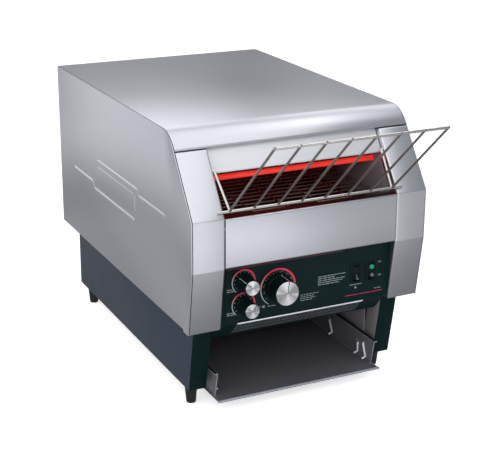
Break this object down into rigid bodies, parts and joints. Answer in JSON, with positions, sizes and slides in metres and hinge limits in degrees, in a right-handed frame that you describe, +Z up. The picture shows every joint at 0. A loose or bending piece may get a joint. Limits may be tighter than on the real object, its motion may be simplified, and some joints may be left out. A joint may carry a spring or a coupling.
{
  "type": "conveyor toaster",
  "caption": "Countertop conveyor toaster with a stainless hood, sloping wire feed rack, wire belt between heating tubes, knob and rocker controls, and a sliding collector tray",
  "frame": {"origin": "on the floor under the middle of the whole toaster, its feed rack included", "axes": "+X to the right seen from the front, +Y to the back, +Z up"},
  "size_m": [0.3696, 0.6842, 0.4293],
  "materials": {
    "stainless": "brushed stainless sheet",
    "black_steel": "black painted steel",
    "slate_steel": "dark grey painted steel",
    "liner_steel": "plain inner sheet",
    "label": "black printed overlay",
    "knob": "black moulded plastic",
    "cap": "spun aluminium",
    "wire": "bright wire",
    "belt_wire": "stainless wire",
    "heater": "glowing heating tube",
    "ceramic": "white ceramic",
    "steel": "machined steel",
    "switch": "black switch plastic",
    "lens": "green lens",
    "foot": "black foot",
    "motor": "black motor"
  },
  "bodies": {
    "housing": {"right_side_panel": "stainless", "left_side_panel": "stainless", "top_cover": "stainless", "rear_panel": "stainless", "right_bezel": "stainless", "left_bezel": "stainless", "front_panel": "stainless", "throat_baffle": "stainless", "cord_bushing": "switch", "control_panel": "black_steel", "panel_label": "label", "heat_controls": "switch", "speed_control": "switch", "mode_switch_housing": "switch", "power_switch_housing": "switch", "right_chamber_plate": "liner_steel", "left_chamber_plate": "liner_steel", "top_heaters": "heater", "bottom_heaters": "heater", "heater_insulators": "ceramic", "top_reflector": "stainless", "bottom_reflector": "stainless", "deck_plate": "liner_steel", "electrics_pan": "liner_steel", "terminal_block": "ceramic", "shaft_bearings": "steel", "conveyor_belt": "belt_wire", "gearmotor": "motor", "drive_chain": "steel", "fan_frame": "switch", "right_base_side": "slate_steel", "left_base_side": "slate_steel", "right_front_post": "black_steel", "left_front_post": "black_steel", "right_frame_rail": "liner_steel", "left_frame_rail": "liner_steel", "base_rear_panel": "slate_steel", "base_floor": "liner_steel", "feet": "foot", "intake_grille": "black_steel", "chute": "liner_steel", "tray_runners": "liner_steel"},
    "feed_rack": {"feed_rack": "wire"},
    "collector_tray": {"collector_tray": "liner_steel"},
    "top_heat_knob": {"top_heat_knob": "knob", "top_heat_knob_cap": "cap"},
    "bottom_heat_knob": {"bottom_heat_knob": "knob", "bottom_heat_knob_cap": "cap"},
    "speed_knob": {"speed_knob": "knob", "speed_knob_cap": "cap"},
    "mode_rocker": {"mode_rocker": "switch"},
    "power_rocker": {"power_rocker": "switch", "power_lamp_lens": "lens"},
    "drive_shaft": {"drive_shaft": "steel", "drive_sprockets": "steel", "shaft_sprocket": "steel"},
    "idler_shaft": {"idler_shaft": "steel", "idler_sprockets": "steel"},
    "motor_sprocket": {"motor_sprocket": "steel"},
    "fan_rotor": {"fan_rotor": "switch"}
  },
  "joints": [
    {"name": "rack_lift", "type": "hinge", "parent": "housing", "child": "feed_rack", "pos_m": [0, -0.17129, 0.35492], "axis": [-1, 0, 0], "range_deg": [0, 30]},
    {"name": "tray_slide", "type": "slide", "parent": "housing", "child": "collector_tray", "axis": [0, -1, 0], "range_m": [0, 0.26]},
    {"name": "top_heat_turn", "type": "hinge", "parent": "housing", "child": "top_heat_knob", "pos_m": [-0.1, -0.19978, 0.20005], "axis": [0, 1, 0], "range_deg": [0, 270]},
    {"name": "bottom_heat_turn", "type": "hinge", "parent": "housing", "child": "bottom_heat_knob", "pos_m": [-0.1, -0.19978, 0.16615], "axis": [0, 1, 0], "range_deg": [0, 270]},
    {"name": "speed_turn", "type": "hinge", "parent": "housing", "child": "speed_knob", "pos_m": [-0.0465, -0.19978, 0.18325], "axis": [0, 1, 0], "range_deg": [0, 270]},
    {"name": "mode_rock", "type": "hinge", "parent": "housing", "child": "mode_rocker", "pos_m": [0.0793, -0.19578, 0.18305], "axis": [1, 0, 0], "range_deg": [0, 20]},
    {"name": "power_rock", "type": "hinge", "parent": "housing", "child": "power_rocker", "pos_m": [0.1045, -0.19578, 0.18305], "axis": [1, 0, 0], "range_deg": [0, 20]},
    {"name": "belt_drive", "type": "hinge", "parent": "housing", "child": "drive_shaft", "pos_m": [0, 0.21585, 0.27], "axis": [-1, 0, 0], "continuous": true, "deforming": ["conveyor_belt", "drive_chain"]},
    {"name": "idler_turn", "type": "hinge", "parent": "housing", "child": "idler_shaft", "pos_m": [0, -0.18038, 0.27], "axis": [-1, 0, 0], "continuous": true},
    {"name": "motor_turn", "type": "hinge", "parent": "housing", "child": "motor_sprocket", "pos_m": [0.156, 0.149, 0.1719], "axis": [-1, 0, 0], "continuous": true},
    {"name": "fan_turn", "type": "hinge", "parent": "housing", "child": "fan_rotor", "pos_m": [0.07, 0.33061, 0.186], "axis": [0, 1, 0], "continuous": true}
  ],
  "couplings": [
    {"joint": "idler_turn", "follows": "belt_drive", "ratio": 1},
    {"joint": "motor_turn", "follows": "belt_drive", "ratio": 1.6}
  ]
}
